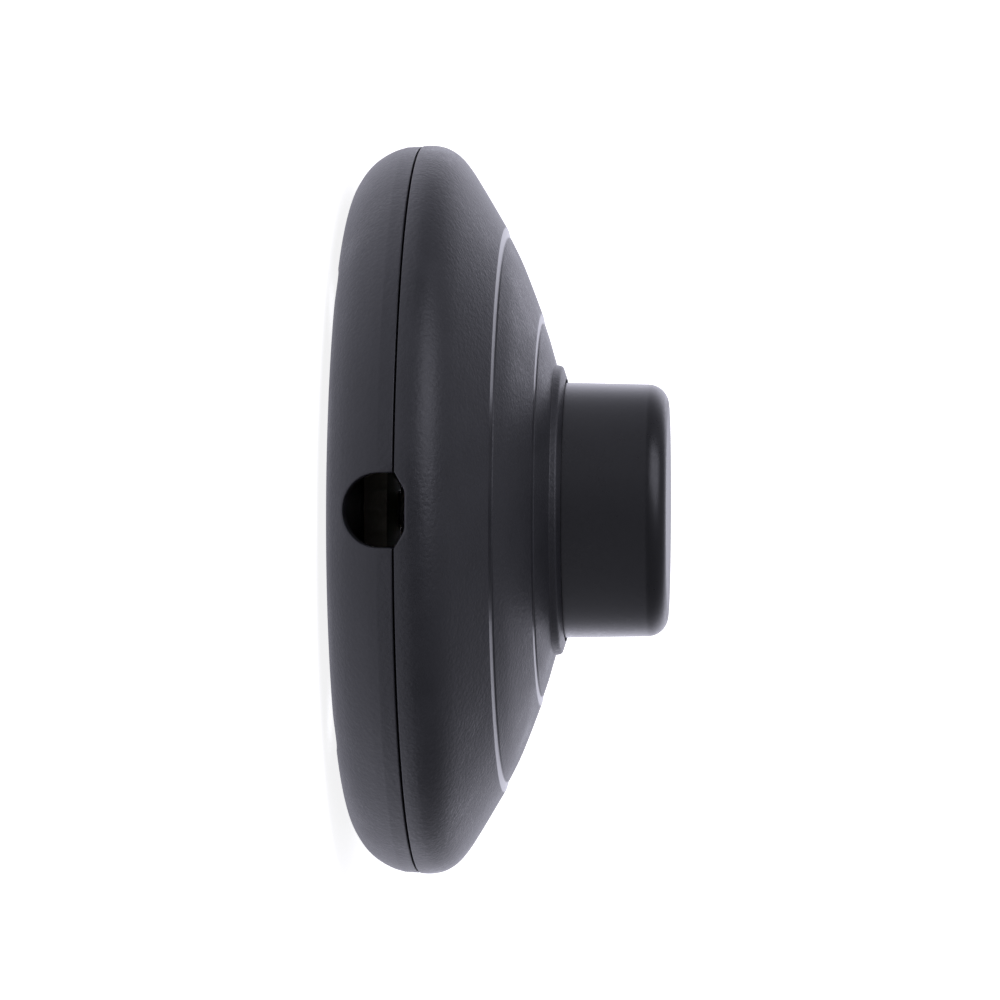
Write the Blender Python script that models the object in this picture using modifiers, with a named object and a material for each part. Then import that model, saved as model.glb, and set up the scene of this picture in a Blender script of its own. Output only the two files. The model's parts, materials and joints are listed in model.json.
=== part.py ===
"""Round in-line foot switch: a push button works a push-push rotary switch in a two-part housing.

The button's axis is +Z and z = 0 is the floor that the rubber feet stand on. The flexible cord
would enter at -Y and leave at +Y. Sizes are in metres, written as millimetres times MM.
"""

import math

import bmesh
import bpy
from mathutils import Matrix, Vector

MM = 0.001
GAP = 0.3 * MM  # left between pieces that touch on the real switch
OVERLAP = 2 * MM  # how far a cutter runs past the wall that it cuts
ROUND_STEPS = 48  # facets of the housing and the button
SMALL_STEPS = 12  # facets of screws, posts and holes
SMOOTH_ANGLE = 35  # degrees between facets up to which they are shaded as one surface

# Heights of the housing
UNDERSIDE = 0.4 * MM
FLOOR_TOP = 2.1 * MM
PARTING = 6.3 * MM
COVER_RIM = PARTING + GAP
COLLAR_TOP = 19.4 * MM
BUTTON_TOP = 28.5 * MM

# Radii of the housing
OUTER_RADIUS = 32.5 * MM
BASE_CAVITY_RADIUS = 29.1 * MM
LIP_RADIUS = 30.0 * MM
LIP_TOP = 7.8 * MM
GUIDE_RADIUS = 11.7 * MM
SKIRT_RADIUS = 13.1 * MM
SKIRT_BOTTOM = 12.3 * MM

# Cable openings
CABLE_RADIUS = 3.1 * MM
CABLE_HEIGHT = 5.35 * MM
CABLE_ROOF = 1.15 * MM
CABLE_ROOF_HALF_WIDTH = 1.65 * MM
CABLE_INNER_END = 25 * MM

# Button and its travel
BUTTON_RADIUS = GUIDE_RADIUS - GAP
BUTTON_WALL = 1.5 * MM
BUTTON_ROOF = 1.8 * MM
BUTTON_FILLET = 1.7 * MM
FLANGE_RADIUS = 12.9 * MM
FLANGE_BOTTOM = 11.0 * MM
FLANGE_TOP = SKIRT_BOTTOM - GAP
TRAVEL = 4.0 * MM

# Ratchet: eight teeth, each a ramp of 40 degrees as high as the travel and a drop of 5 degrees
TEETH = 8
TOOTH_PITCH = 360 / TEETH
TOOTH_RAMP = 40
TOOTH_BACKLASH = 2.5
RATCHET_STEPS = 72
CROWN_INNER = 4.5 * MM
CROWN_OUTER = 7.0 * MM
CROWN_VALLEY = 7.8 * MM
DISC_BOTTOM = 6.3 * MM
DISC_TOP = 7.4 * MM
STAR_RADIUS = 8.5 * MM
STAR_DEPTH = 0.4 * MM
PIN_RADIUS = 1.5 * MM
PIN_HOLE = PIN_RADIUS + GAP
PIN_TOP = 14 * MM

# Return spring
SPRING_RADIUS = 2.7 * MM
SPRING_WIRE = 0.35 * MM
SPRING_TURNS = 7
SPRING_BOTTOM = 8.4 * MM
SPRING_TOP = BUTTON_TOP - BUTTON_ROOF - GAP

# Contact carrier and what stands on it
CARRIER_BOTTOM = FLOOR_TOP + GAP
CARRIER_TOP = 4.4 * MM
STRIP_BOTTOM = CARRIER_TOP + GAP
STRIP_TOP = 5.2 * MM
BRIDGE_BOTTOM = 5.5 * MM
BRIDGE_TOP = DISC_BOTTOM - GAP
STOP_X = 11.75 * MM
TERMINAL = Vector((-17 * MM, 6.5 * MM, 0))
LINK_X = 17 * MM
LINK_SCREW_Y = 5 * MM
WIRE_HOLE = 1.6 * MM
INDEX_RIVET = (8.4 * MM, 7.2 * MM)
CARRIER_SCREWS = [(5.8 * MM, 10.05 * MM), (5.8 * MM, -10.05 * MM)]

# Fixings of the housing
FOOT_RADIUS = 4.5 * MM
FOOT_TOP = 0.9 * MM
FOOT_CENTRE = 17 * MM
FIXING_CENTRE = 25 * MM
CLAMP_Y = 22.5 * MM
CLAMP_SCREW_X = 6.3 * MM
CLAMP_BOTTOM = 7.3 * MM
CLAMP_TOP = 9.5 * MM

# Outlines of the two shells from the side, as (radius, height) in millimetres
BASE_OUTLINE = [(32.35, 6.3), (32.25, 5.1), (31.8, 3.95), (31.2, 2.95), (30.6, 2.2), (29.8, 1.6),
                (28.8, 1.05), (27.5, 0.65), (25.2, 0.4)]
SHOULDER_OUTLINE = [(25.2, 13.9), (27.6, 12.55), (29.1, 11.65), (30.5, 10.75), (31.6, 9.85),
                    (32.15, 8.95), (32.45, 8.0), (32.5, 7.3), (32.4, 6.6)]
TIER_OUTLINE = [(11.7, 19.4), (12.85, 19.05), (13.0, 18.4), (15.25, 17.75), (16.4, 17.35),
                (17.5, 17.15), (20.2, 16.15), (22.4, 15.25), (24.2, 14.2)]
INNER_OUTLINE = [(13.1, 16.3), (16.6, 15.3), (20.5, 13.8), (25.9, 11.3), (28.8, 9.7), (30.3, 8.1)]


def clear_scene():
    for obj in list(bpy.data.objects):
        bpy.data.objects.remove(obj, do_unlink=True)


def new_collection(name):
    made = bpy.data.collections.new(name)
    bpy.context.scene.collection.children.link(made)
    return made


def new_material(name, colour, roughness, metallic=0.0):
    made = bpy.data.materials.new(name)
    made.use_nodes = True
    shader = made.node_tree.nodes["Principled BSDF"]
    shader.inputs["Base Color"].default_value = (*colour, 1)
    shader.inputs["Roughness"].default_value = roughness
    shader.inputs["Metallic"].default_value = metallic
    return made


def add_part(name, data, material, parent=None):
    """A named piece of the switch."""
    obj = bpy.data.objects.new(name, data)
    data.materials.clear()
    data.materials.append(material)
    PARTS.objects.link(obj)
    if parent:
        obj.parent = parent
        obj.matrix_parent_inverse = parent.matrix_world.inverted()
    return obj


def add_cutter(name, data):
    """A shape that only cuts or joins others."""
    obj = bpy.data.objects.new(name, data)
    CUTTERS.objects.link(obj)
    obj.hide_render = True
    obj.display_type = "WIRE"
    return obj


def add_axis(name, height):
    """An empty on the button's axis, for the pieces that move with it."""
    empty = bpy.data.objects.new(name, None)
    empty.location.z = height
    empty.empty_display_size = 5 * MM
    PARTS.objects.link(empty)
    bpy.context.view_layer.update()
    return empty


def mesh_from(name, shape):
    mesh = bpy.data.meshes.new(name)
    shape.to_mesh(mesh)
    shape.free()
    return mesh


def profile_mesh(name, outline, closed=False):
    """An outline of (radius, height) as edges in the XZ plane, ready for a Screw modifier."""
    shape = bmesh.new()
    points = [shape.verts.new((radius, 0, height)) for radius, height in outline]
    for start, end in zip(points, points[1:] + points[:1] * closed):
        shape.edges.new((start, end))
    return mesh_from(name, shape)


def baked(obj, smooth_angle=None):
    """The object's evaluated mesh, with doubled points welded; the object itself is removed."""
    graph = bpy.context.evaluated_depsgraph_get()
    mesh = bpy.data.meshes.new_from_object(obj.evaluated_get(graph), depsgraph=graph)
    bpy.data.objects.remove(obj, do_unlink=True)
    shape = bmesh.new()
    shape.from_mesh(mesh)
    bmesh.ops.remove_doubles(shape, verts=shape.verts, dist=0.001 * MM)
    shape.to_mesh(mesh)
    shape.free()
    if smooth_angle:
        mesh.shade_smooth()
        mesh.set_sharp_from_angle(angle=math.radians(smooth_angle))
    return mesh


def turned(name, outline, closed=False, steps=ROUND_STEPS):
    """The mesh of an outline turned about Z."""
    obj = add_cutter(name, profile_mesh(name, outline, closed))
    screw = obj.modifiers.new("Turn", "SCREW")
    screw.steps = steps
    screw.render_steps = steps
    screw.use_merge_vertices = True
    screw.merge_threshold = 0.01 * MM
    return baked(obj, SMOOTH_ANGLE)


def in_metres(outline):
    return [(radius * MM, height * MM) for radius, height in outline]


def pegs(name, places, radius, low, high, steps=SMALL_STEPS):
    """Upright cylinders at several places, as one mesh."""
    shape = bmesh.new()
    for x, y in places:
        bmesh.ops.create_cone(shape, cap_ends=True, segments=steps, radius1=radius, radius2=radius,
                              depth=high - low, matrix=Matrix.Translation((x, y, (low + high) / 2)))
    return mesh_from(name, shape)


def rods_along_y(name, places, radius, length, steps=SMALL_STEPS):
    """Cylinders lying along Y at several centres, as one mesh."""
    shape = bmesh.new()
    lie_down = Matrix.Rotation(math.pi / 2, 4, "X")
    for place in places:
        bmesh.ops.create_cone(shape, cap_ends=True, segments=steps, radius1=radius, radius2=radius,
                              depth=length, matrix=Matrix.Translation(place) @ lie_down)
    return mesh_from(name, shape)


def boxes(name, corners):
    """Boxes from pairs of opposite corners, as one mesh."""
    shape = bmesh.new()
    for start, end in corners:
        start, end = Vector(start), Vector(end)
        sides = [abs(length) for length in end - start]
        place = Matrix.Translation((start + end) / 2)
        bmesh.ops.create_cube(shape, size=1, matrix=place @ Matrix.Diagonal((*sides, 1)))
    return mesh_from(name, shape)


def plate(name, outline, low, high):
    """A flat outline of (x, y) points given a thickness."""
    curve = bpy.data.curves.new(name, "CURVE")
    curve.dimensions = "2D"
    curve.fill_mode = "BOTH"
    curve.extrude = (high - low) / 2
    line = curve.splines.new("POLY")
    line.points.add(len(outline) - 1)
    for point, (x, y) in zip(line.points, outline):
        point.co = (x, y, 0, 1)
    line.use_cyclic_u = True
    obj = add_cutter(name, curve)
    mesh = baked(obj)
    bpy.data.curves.remove(curve)
    mesh.transform(Matrix.Translation((0, 0, (low + high) / 2)))
    return mesh


def combine(obj, other, operation):
    boolean = obj.modifiers.new(other.name, "BOOLEAN")
    boolean.operation = operation
    boolean.object = other
    return obj


def cut(obj, name, mesh):
    return combine(obj, add_cutter(name, mesh), "DIFFERENCE")


def join(obj, name, mesh):
    return combine(obj, add_cutter(name, mesh), "UNION")


def around(radius, start, count=4):
    """Places spaced evenly round the axis, the first at the angle start in degrees."""
    angles = [math.radians(start + 360 / count * turn) for turn in range(count)]
    return [(radius * math.cos(angle), radius * math.sin(angle)) for angle in angles]


def screw_mesh(name, head_radius, head_height, shank_radius, shank_length):
    """A pan-head screw with a slot, pointing down, with the underside of its head at z = 0."""
    rim = head_height / 2
    outline = [(0, head_height), (head_radius * 0.7, head_height), (head_radius, rim), (head_radius, 0),
               (shank_radius, 0), (shank_radius, -shank_length + shank_radius), (0, -shank_length)]
    slot = 0.5 * MM
    screw = add_cutter(name, turned(name, outline, steps=SMALL_STEPS))
    cut(screw, name + "_slot", boxes(name + "_slot", [((-head_radius * 2, -slot / 2, head_height - slot),
                                                      (head_radius * 2, slot / 2, head_height + slot))]))
    return baked(screw, SMOOTH_ANGLE)


def place_screws(names, places, height, mesh, material, upside_down=False):
    for name, (x, y) in zip(names, places):
        screw = add_part(name, mesh, material)
        screw.location = (x, y, height)
        if upside_down:
            screw.rotation_euler.x = math.pi


def cable_passages(name, low_radius):
    """The U-shaped notch of each cable opening, from low_radius outwards."""
    length = OUTER_RADIUS + OVERLAP - low_radius
    middle = low_radius + length / 2
    return rods_along_y(name, [(0, side * middle, CABLE_HEIGHT) for side in (-1, 1)],
                        CABLE_RADIUS, length, steps=24)


def fixing_places():
    return around(FIXING_CENTRE, 45)


def clamp_places():
    return [(x * CLAMP_SCREW_X, y * CLAMP_Y) for y in (-1, 1) for x in (-1, 1)]


def make_base_shell(material):
    """The dish that everything is built into, with a lip that fits inside the cover."""
    outline = [(0, LIP_TOP), (LIP_RADIUS, LIP_TOP), (LIP_RADIUS, PARTING)]
    outline += in_metres(BASE_OUTLINE) + [(0, UNDERSIDE)]
    base = add_part("base_shell", turned("base_shell", outline), material)

    room = [(0, LIP_TOP + OVERLAP), (BASE_CAVITY_RADIUS, LIP_TOP + OVERLAP), (BASE_CAVITY_RADIUS, 4 * MM),
            (BASE_CAVITY_RADIUS - 1.5 * MM, FLOOR_TOP), (0, FLOOR_TOP)]
    cavity = add_cutter("base_cavity", turned("base_cavity", room))
    cut(cavity, "base_bosses", pegs("base_bosses", fixing_places(), 4.5 * MM, 0, PARTING))
    cut(cavity, "clamp_posts", pegs("clamp_posts", clamp_places(), 2.4 * MM, 0, CLAMP_BOTTOM - GAP))
    combine(base, cavity, "DIFFERENCE")

    cut(base, "base_notches", cable_passages("base_notches", CABLE_INNER_END))
    above = [((-CABLE_RADIUS, side * CABLE_INNER_END, CABLE_HEIGHT),
              (CABLE_RADIUS, side * (OUTER_RADIUS + OVERLAP), LIP_TOP + OVERLAP)) for side in (-1, 1)]
    lip_breaks = [((-5 * MM, side * CABLE_INNER_END, PARTING),
                   (5 * MM, side * (LIP_RADIUS + OVERLAP), LIP_TOP + OVERLAP)) for side in (-1, 1)]
    cut(base, "notch_tops", boxes("notch_tops", above))
    cut(base, "lip_breaks", boxes("lip_breaks", lip_breaks))
    cut(base, "foot_recesses", pegs("foot_recesses", around(FOOT_CENTRE, 0), FOOT_RADIUS + GAP,
                                    -OVERLAP, FOOT_TOP + GAP, steps=24))
    cut(base, "screw_recesses", pegs("screw_recesses", fixing_places(), 3.0 * MM, -OVERLAP, 3.0 * MM))
    cut(base, "screw_holes", pegs("screw_holes", fixing_places(), 1.75 * MM, 2 * MM, PARTING + OVERLAP))
    cut(base, "clamp_pilots", pegs("clamp_pilots", clamp_places(), 1.3 * MM, 3 * MM, 12 * MM))
    cut(base, "carrier_pilots", pegs("carrier_pilots", CARRIER_SCREWS, 1.4 * MM, 1.1 * MM, 4 * MM))


def make_cover_shell(material):
    """The domed cover: two steps, a collar and an inner skirt that guides the button."""
    outline = [(0, COLLAR_TOP)] + in_metres(TIER_OUTLINE + SHOULDER_OUTLINE) + [(0, COVER_RIM)]
    cover = add_part("cover_shell", turned("cover_shell", outline), material)

    room = [(0, COLLAR_TOP + OVERLAP), (GUIDE_RADIUS, COLLAR_TOP + OVERLAP), (GUIDE_RADIUS, SKIRT_BOTTOM),
            (SKIRT_RADIUS, SKIRT_BOTTOM)]
    room += in_metres(INNER_OUTLINE) + [(LIP_RADIUS + GAP, COVER_RIM - OVERLAP), (0, COVER_RIM - OVERLAP)]
    cavity = add_cutter("cover_cavity", turned("cover_cavity", room))
    cut(cavity, "cover_bosses", pegs("cover_bosses", fixing_places(), 3.4 * MM, 0, COLLAR_TOP))
    combine(cover, cavity, "DIFFERENCE")

    roof = PARTING + CABLE_ROOF
    slope = [(-CABLE_RADIUS, PARTING - OVERLAP), (CABLE_RADIUS, PARTING - OVERLAP), (CABLE_RADIUS, PARTING),
             (CABLE_ROOF_HALF_WIDTH, roof), (-CABLE_ROOF_HALF_WIDTH, roof), (-CABLE_RADIUS, PARTING)]
    length = OUTER_RADIUS + OVERLAP
    notches = plate("cover_notches", slope, -length, length)
    notches.transform(Matrix.Rotation(math.pi / 2, 4, "X"))
    cut(cover, "cover_notches", notches)
    cut(cover, "cover_pilots", pegs("cover_pilots", fixing_places(), 1.7 * MM, 4 * MM, 11 * MM))


def make_push_button(material, parent):
    """A cup with a rounded rim, a stop flange below and a socket for the plunger inside."""
    arc = [(BUTTON_RADIUS - 0.12 * MM - BUTTON_FILLET * (1 - math.cos(math.radians(angle))),
            BUTTON_TOP - BUTTON_FILLET * (1 - math.sin(math.radians(angle)))) for angle in (90, 60, 30, 0)]
    inner = BUTTON_RADIUS - BUTTON_WALL
    roof = BUTTON_TOP - BUTTON_ROOF
    outline = [(0, BUTTON_TOP)] + arc
    outline += [(BUTTON_RADIUS, FLANGE_TOP), (FLANGE_RADIUS, FLANGE_TOP), (FLANGE_RADIUS, FLANGE_BOTTOM),
                (inner, FLANGE_BOTTOM), (inner, roof), (6.9 * MM, roof), (6.9 * MM, 20 * MM),
                (5.4 * MM, 20 * MM), (5.4 * MM, roof), (0, roof)]
    button = add_part("push_button", turned("push_button", outline), material, parent)
    slots = [((side * (STOP_X - 2 * GAP), -1.5 * MM, FLANGE_BOTTOM - OVERLAP),
              (side * (FLANGE_RADIUS + OVERLAP), 1.5 * MM, FLANGE_TOP + GAP)) for side in (-1, 1)]
    cut(button, "flange_slots", boxes("flange_slots", slots))


def tooth_height(degrees):
    """Height of the ratchet's sawtooth at an angle."""
    along = degrees % TOOTH_PITCH
    if along <= TOOTH_RAMP:
        return TRAVEL * along / TOOTH_RAMP
    return TRAVEL * (TOOTH_PITCH - along) / (TOOTH_PITCH - TOOTH_RAMP)


def angle_of(point):
    return round(math.degrees(math.atan2(point.y, point.x)), 2) % 360


def raise_teeth(mesh, level, turned_by, backlash=0):
    """Lifts each point at one height by the sawtooth, which starts turned_by degrees back. Backlash cuts
    each tooth back by that many degrees on its steep side, along the line of its ramp."""
    for vertex in mesh.vertices:
        if abs(vertex.co.z - level) < 0.01 * MM:
            along = (angle_of(vertex.co) + turned_by) % TOOTH_PITCH
            vertex.co.z += tooth_height(along)
            if min(along, abs(along - TOOTH_RAMP), TOOTH_PITCH - along) < 1:
                vertex.co.z += TRAVEL * backlash / TOOTH_RAMP
                vertex.co.rotate(Matrix.Rotation(math.radians(backlash), 3, "Z"))


def make_plunger(material, parent):
    """The tube that carries the button's push to the rotor through its toothed lower end."""
    tip = CROWN_VALLEY + GAP + TRAVEL
    shoulder = tip + TRAVEL + 1.2 * MM
    bore = 3.7 * MM
    top = BUTTON_TOP - BUTTON_ROOF - GAP
    outline = [(5.1 * MM, top), (5.1 * MM, shoulder), (CROWN_OUTER, shoulder), (CROWN_OUTER, tip),
               (bore, tip), (bore, top)]
    mesh = turned("plunger", outline, closed=True, steps=RATCHET_STEPS)
    raise_teeth(mesh, tip, 0, TOOTH_BACKLASH)
    add_part("plunger", mesh, material, parent)


def make_rotor(material, parent):
    """The toothed disc that turns as the button goes down, with a star rim for the index spring."""
    hub = 2.6 * MM
    outline = [(CROWN_OUTER, CROWN_VALLEY), (CROWN_OUTER, DISC_TOP), (STAR_RADIUS, DISC_TOP),
               (STAR_RADIUS, DISC_BOTTOM), (hub, DISC_BOTTOM), (hub, STRIP_BOTTOM), (PIN_HOLE, STRIP_BOTTOM),
               (PIN_HOLE, DISC_TOP), (CROWN_INNER, DISC_TOP), (CROWN_INNER, CROWN_VALLEY)]
    mesh = turned("rotor", outline, closed=True, steps=RATCHET_STEPS)
    raise_teeth(mesh, CROWN_VALLEY, TOOTH_RAMP)
    for vertex in mesh.vertices:
        if vertex.co.xy.length > CROWN_OUTER + GAP:
            wave = math.cos(TEETH * math.radians(angle_of(vertex.co)))
            vertex.co.xy *= 1 - STAR_DEPTH * wave / STAR_RADIUS
    add_part("rotor", mesh, material, parent)


def make_contact_bridge(material, parent):
    """The four-armed spring contact under the rotor, a ring with an arm every 90 degrees."""
    bridge = add_part("contact_bridge", turned("contact_bridge", [
        (4.2 * MM, BRIDGE_TOP), (4.2 * MM, BRIDGE_BOTTOM), (2.9 * MM, BRIDGE_BOTTOM), (2.9 * MM, BRIDGE_TOP)],
        closed=True, steps=24), material, parent)
    reach, inner, half = 7.4 * MM, 3.4 * MM, 0.9 * MM
    arms = boxes("bridge_arms", [((inner, -half, BRIDGE_BOTTOM), (reach, half, BRIDGE_TOP)),
                                 ((-reach, -half, BRIDGE_BOTTOM), (-inner, half, BRIDGE_TOP)),
                                 ((-half, inner, BRIDGE_BOTTOM), (half, reach, BRIDGE_TOP)),
                                 ((-half, -reach, BRIDGE_BOTTOM), (half, -inner, BRIDGE_TOP))])
    join(bridge, "bridge_arms", arms)


def make_return_spring(material):
    """The coil between the rotor's washer and the button, closer wound at its ends."""
    curve = bpy.data.curves.new("return_spring", "CURVE")
    curve.dimensions = "3D"
    curve.bevel_depth = SPRING_WIRE
    curve.bevel_resolution = 2
    curve.use_fill_caps = True
    coil = curve.splines.new("POLY")
    count = SPRING_TURNS * 10
    coil.points.add(count)
    low = SPRING_BOTTOM + SPRING_WIRE
    height = SPRING_TOP - SPRING_WIRE - low
    for index, point in enumerate(coil.points):
        along = index / count
        rise = along - 0.6 * math.sin(2 * math.pi * along) / (2 * math.pi)
        angle = 2 * math.pi * SPRING_TURNS * along
        point.co = (SPRING_RADIUS * math.cos(angle), SPRING_RADIUS * math.sin(angle), low + height * rise, 1)
    spring = add_cutter("return_spring_wire", curve)
    mesh = baked(spring, 2 * SMOOTH_ANGLE)
    bpy.data.curves.remove(curve)
    add_part("return_spring", mesh, material)


def make_spring_washer(material):
    low, high = DISC_TOP + GAP, DISC_TOP + GAP + 0.4 * MM
    outline = [(3.35 * MM, high), (3.35 * MM, low), (PIN_HOLE + 0.1 * MM, low), (PIN_HOLE + 0.1 * MM, high)]
    add_part("spring_washer", turned("spring_washer", outline, closed=True, steps=24), material)


def make_rotor_pin(material):
    """The fixed pin that the rotor turns on, with its head under the carrier."""
    head_top = CARRIER_BOTTOM + 0.7 * MM
    outline = [(0, PIN_TOP), (PIN_RADIUS - 0.4 * MM, PIN_TOP), (PIN_RADIUS, PIN_TOP - 0.4 * MM),
               (PIN_RADIUS, head_top), (3 * MM, head_top), (3 * MM, CARRIER_BOTTOM), (0, CARRIER_BOTTOM)]
    add_part("rotor_pin", turned("rotor_pin", outline, steps=24), material)


def make_contact_carrier(material):
    """The insulating plate that holds the mechanism, with two posts that keep the button from turning."""
    plate_half = Vector((21 * MM, 9.5 * MM))
    disc = pegs("contact_carrier", [(0, 0)], 13 * MM, CARRIER_BOTTOM, CARRIER_TOP, steps=ROUND_STEPS)
    carrier = add_part("contact_carrier", disc, material)
    join(carrier, "carrier_plate", boxes("carrier_plate", [
        ((-plate_half.x, -plate_half.y, CARRIER_BOTTOM), (plate_half.x, plate_half.y, CARRIER_TOP))]))
    posts = [((side * STOP_X, -1.2 * MM, CARRIER_BOTTOM + 1 * MM),
              (side * FLANGE_RADIUS, 1.2 * MM, FLANGE_TOP)) for side in (-1, 1)]
    join(carrier, "stop_posts", boxes("stop_posts", posts))
    cut(carrier, "pin_hole", pegs("pin_hole", [(0, 0)], PIN_HOLE, 0, 8 * MM))
    cut(carrier, "pin_head_recess", pegs("pin_head_recess", [(0, 0)], 3 * MM + GAP, 0,
                                         CARRIER_BOTTOM + 1 * MM))
    cut(carrier, "carrier_holes", pegs("carrier_holes", CARRIER_SCREWS, 1.4 * MM, 0, 8 * MM))
    cut(carrier, "rivet_hole", pegs("rivet_hole", [INDEX_RIVET], 0.6 * MM + GAP, 0, 8 * MM, steps=12))


def make_index_spring(material):
    """A flat leaf whose raised tip rides on the rotor's star rim and holds it at each step."""
    x, y = INDEX_RIVET
    half = 0.8 * MM
    leaf = boxes("index_spring", [((x - half, -1 * MM, STRIP_BOTTOM),
                                   (x + half, y + 1.2 * MM, STRIP_BOTTOM + GAP))])
    spring = add_part("index_spring", leaf, material)
    tip = boxes("index_tip", [((x - 0.4 * MM, -0.6 * MM, STRIP_BOTTOM + 0.1 * MM),
                               (x + 0.4 * MM, 0.6 * MM, DISC_BOTTOM - GAP))])
    join(spring, "index_tip", tip)
    cut(spring, "leaf_hole", pegs("leaf_hole", [INDEX_RIVET], 0.45 * MM, 4 * MM, 6 * MM, steps=12))


def make_index_rivet(material):
    x, y = INDEX_RIVET
    head_bottom = STRIP_BOTTOM + 2 * GAP
    outline = [(0, head_bottom + 0.5 * MM), (0.7 * MM, head_bottom + 0.4 * MM), (1.1 * MM, head_bottom),
               (0.3 * MM, head_bottom), (0.3 * MM, CARRIER_BOTTOM), (0, CARRIER_BOTTOM)]
    rivet = add_part("index_spring_rivet", turned("index_spring_rivet", outline, steps=12), material)
    rivet.location = (x, y, 0)


def strip_outline(start, end, width):
    """The corners of a straight strip between two points."""
    start, end = Vector(start), Vector(end)
    side = (end - start).normalized().orthogonal() * width / 2
    return [tuple(point) for point in (start + side, start - side, end - side, end + side)]


def make_fixed_contact(name, side, material):
    """A brass strip from the rotor's contact circle to a terminal, with a round pad."""
    pad = (-4.45 * MM, side * 4.45 * MM)
    outline = strip_outline(pad, (TERMINAL.x - 1.5 * MM, side * TERMINAL.y), 2.6 * MM)
    strip = add_part(name, plate(name, outline, STRIP_BOTTOM, STRIP_TOP), material)
    join(strip, name + "_pad", pegs(name + "_pad", [pad], 1.6 * MM, STRIP_BOTTOM - 0.05 * MM, STRIP_TOP))


def drilled_block(name, low, high, screw_places, material):
    """A brass block with a wire hole along Y and a screw hole from above at each place."""
    block = add_part(name, boxes(name, [(low, high)]), material)
    middle = (Vector(low) + Vector(high)) / 2
    wire_height = low[2] + 2.1 * MM
    length = high[1] - low[1] + 2 * OVERLAP
    cut(block, name + "_wire_hole", rods_along_y(name + "_wire_hole", [(middle.x, middle.y, wire_height)],
                                                 WIRE_HOLE, length, steps=12))
    cut(block, name + "_screw_holes", pegs(name + "_screw_holes", screw_places, 1.3 * MM, wire_height,
                                           high[2] + OVERLAP, steps=12))


def make_terminals(brass, steel):
    """Two brass terminals for the switched wire and one long link for the wire that passes through."""
    screw = screw_mesh("terminal_screw", 1.9 * MM, 1.2 * MM, 1.0 * MM, 1.7 * MM)
    block_low, block_high = STRIP_TOP + GAP, 10 * MM
    half = Vector((2.5 * MM, 3.2 * MM))
    for name, side in (("in", -1), ("out", 1)):
        y = side * TERMINAL.y
        drilled_block("terminal_" + name, (TERMINAL.x - half.x, y - half.y, block_low),
                      (TERMINAL.x + half.x, y + half.y, block_high), [(TERMINAL.x, y)], brass)
        place_screws(["terminal_screw_" + name], [(TERMINAL.x, y)], block_high + GAP, screw, steel)
    link_top = 8.7 * MM
    places = [(LINK_X, -LINK_SCREW_Y), (LINK_X, LINK_SCREW_Y)]
    drilled_block("neutral_link", (LINK_X - half.x, -8 * MM, STRIP_BOTTOM),
                  (LINK_X + half.x, 8 * MM, link_top), places, brass)
    place_screws(["neutral_screw_in", "neutral_screw_out"], places, link_top + GAP, screw, steel)


def make_cord_clamps(plastic, steel):
    """A bar over each cable entry, with an arch that presses on the cord."""
    half = Vector((8.6 * MM, 2 * MM))
    screw = screw_mesh("clamp_screw", 2.0 * MM, 1.4 * MM, 1.0 * MM, 5.6 * MM)
    for name, side in (("in", -1), ("out", 1)):
        y = side * CLAMP_Y
        clamp = add_part("cord_clamp_" + name, boxes("cord_clamp_" + name, [
            ((-half.x, y - half.y, CLAMP_BOTTOM), (half.x, y + half.y, CLAMP_TOP))]), plastic)
        cut(clamp, f"clamp_{name}_arch", rods_along_y(f"clamp_{name}_arch", [(0, y, CABLE_HEIGHT)],
                                                      2.9 * MM, 3 * half.y, steps=24))
        holes = [(-CLAMP_SCREW_X, y), (CLAMP_SCREW_X, y)]
        cut(clamp, f"clamp_{name}_holes", pegs(f"clamp_{name}_holes", holes, 1.3 * MM, 5 * MM, 12 * MM))
        names = [f"clamp_screw_{name}_left", f"clamp_screw_{name}_right"]
        place_screws(names, holes, CLAMP_TOP + GAP, screw, steel)


def make_rubber_feet(material):
    outline = [(0, FOOT_TOP), (FOOT_RADIUS, FOOT_TOP), (FOOT_RADIUS, 0.25 * MM), (FOOT_RADIUS - 0.25 * MM, 0),
               (0, 0)]
    mesh = turned("rubber_foot", outline, steps=24)
    for number, (x, y) in enumerate(around(FOOT_CENTRE, 0), 1):
        foot = add_part(f"rubber_foot_{number}", mesh, material)
        foot.location = (x, y, 0)


def make_housing_screws(material):
    mesh = screw_mesh("housing_screw", 2.7 * MM, 1.5 * MM, 1.4 * MM, 7.4 * MM)
    names = [f"housing_screw_{number}" for number in range(1, 5)]
    place_screws(names, fixing_places(), 2.7 * MM, mesh, material, upside_down=True)


def make_carrier_screws(material):
    mesh = screw_mesh("carrier_screw", 2.1 * MM, 1.4 * MM, 1.1 * MM, 3.3 * MM)
    place_screws(["carrier_screw_1", "carrier_screw_2"], CARRIER_SCREWS, STRIP_BOTTOM, mesh, material)


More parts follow.
